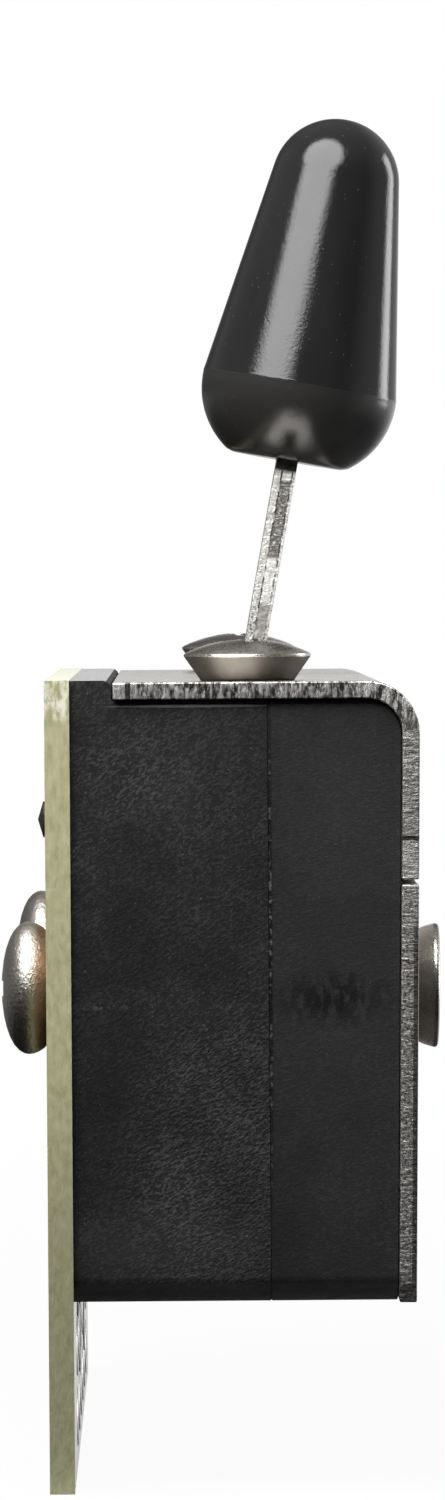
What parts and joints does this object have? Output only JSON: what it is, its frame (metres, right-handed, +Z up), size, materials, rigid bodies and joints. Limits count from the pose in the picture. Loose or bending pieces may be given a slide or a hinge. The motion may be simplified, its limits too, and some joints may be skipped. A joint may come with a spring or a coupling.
{
  "type": "guitar selector switch",
  "caption": "Enclosed lever selector switch for a guitar: a knobbed blade lever that sweeps along detents and rocks sideways between contact banks, on a folded bracket with a circuit board.",
  "frame": {"origin": "midway between the two mounting screws, on the top face of the bracket", "axes": "+Z up out of the guitar's face, +Y along the switch, +X from the circuit board to the bracket's leg"},
  "size_m": [0.0178, 0.05, 0.0561],
  "materials": {
    "nickel_plate": "nickel plate with sheared edges",
    "black_moulding": "matte, scuffed",
    "board_laminate": "bare cut laminate edge",
    "tinned_contact": "tinned",
    "nickel_screw": "bright nickel",
    "lever_steel": "stamped, plated",
    "spring_bronze": "rolled",
    "inner_moulding": "satin",
    "knob_gloss": "polished"
  },
  "bodies": {
    "base": {"mounting_bracket": "nickel_plate", "left_housing": "black_moulding", "right_housing": "black_moulding", "circuit_board": "board_laminate", "bank_a_contacts": "tinned_contact", "contact_board": "board_laminate", "bank_b_contacts": "tinned_contact", "link_pins": "tinned_contact", "clamp_screws": "nickel_screw", "clamp_bushes": "nickel_screw", "mounting_screws": "nickel_screw", "pivot_axle": "lever_steel", "detent_leaf": "spring_bronze"},
    "carrier": {"swing_carrier": "inner_moulding", "rock_leaf": "spring_bronze"},
    "lever": {"lever_blade": "lever_steel", "lever_knob": "knob_gloss", "wiper_block": "inner_moulding", "bank_a_wiper": "spring_bronze", "bank_b_wiper": "spring_bronze"}
  },
  "joints": [
    {"name": "lever_sweep", "type": "hinge", "parent": "base", "child": "carrier", "pos_m": [0, 0, -0.0145], "axis": [1, 0, 0], "range_deg": [-24, 24], "deforming": ["detent_leaf"]},
    {"name": "lever_rock", "type": "hinge", "parent": "carrier", "child": "lever", "pos_m": [0, 0, -0.0016], "axis": [0, 1, 0], "range_deg": [-20, 0], "deforming": ["rock_leaf"]}
  ]
}
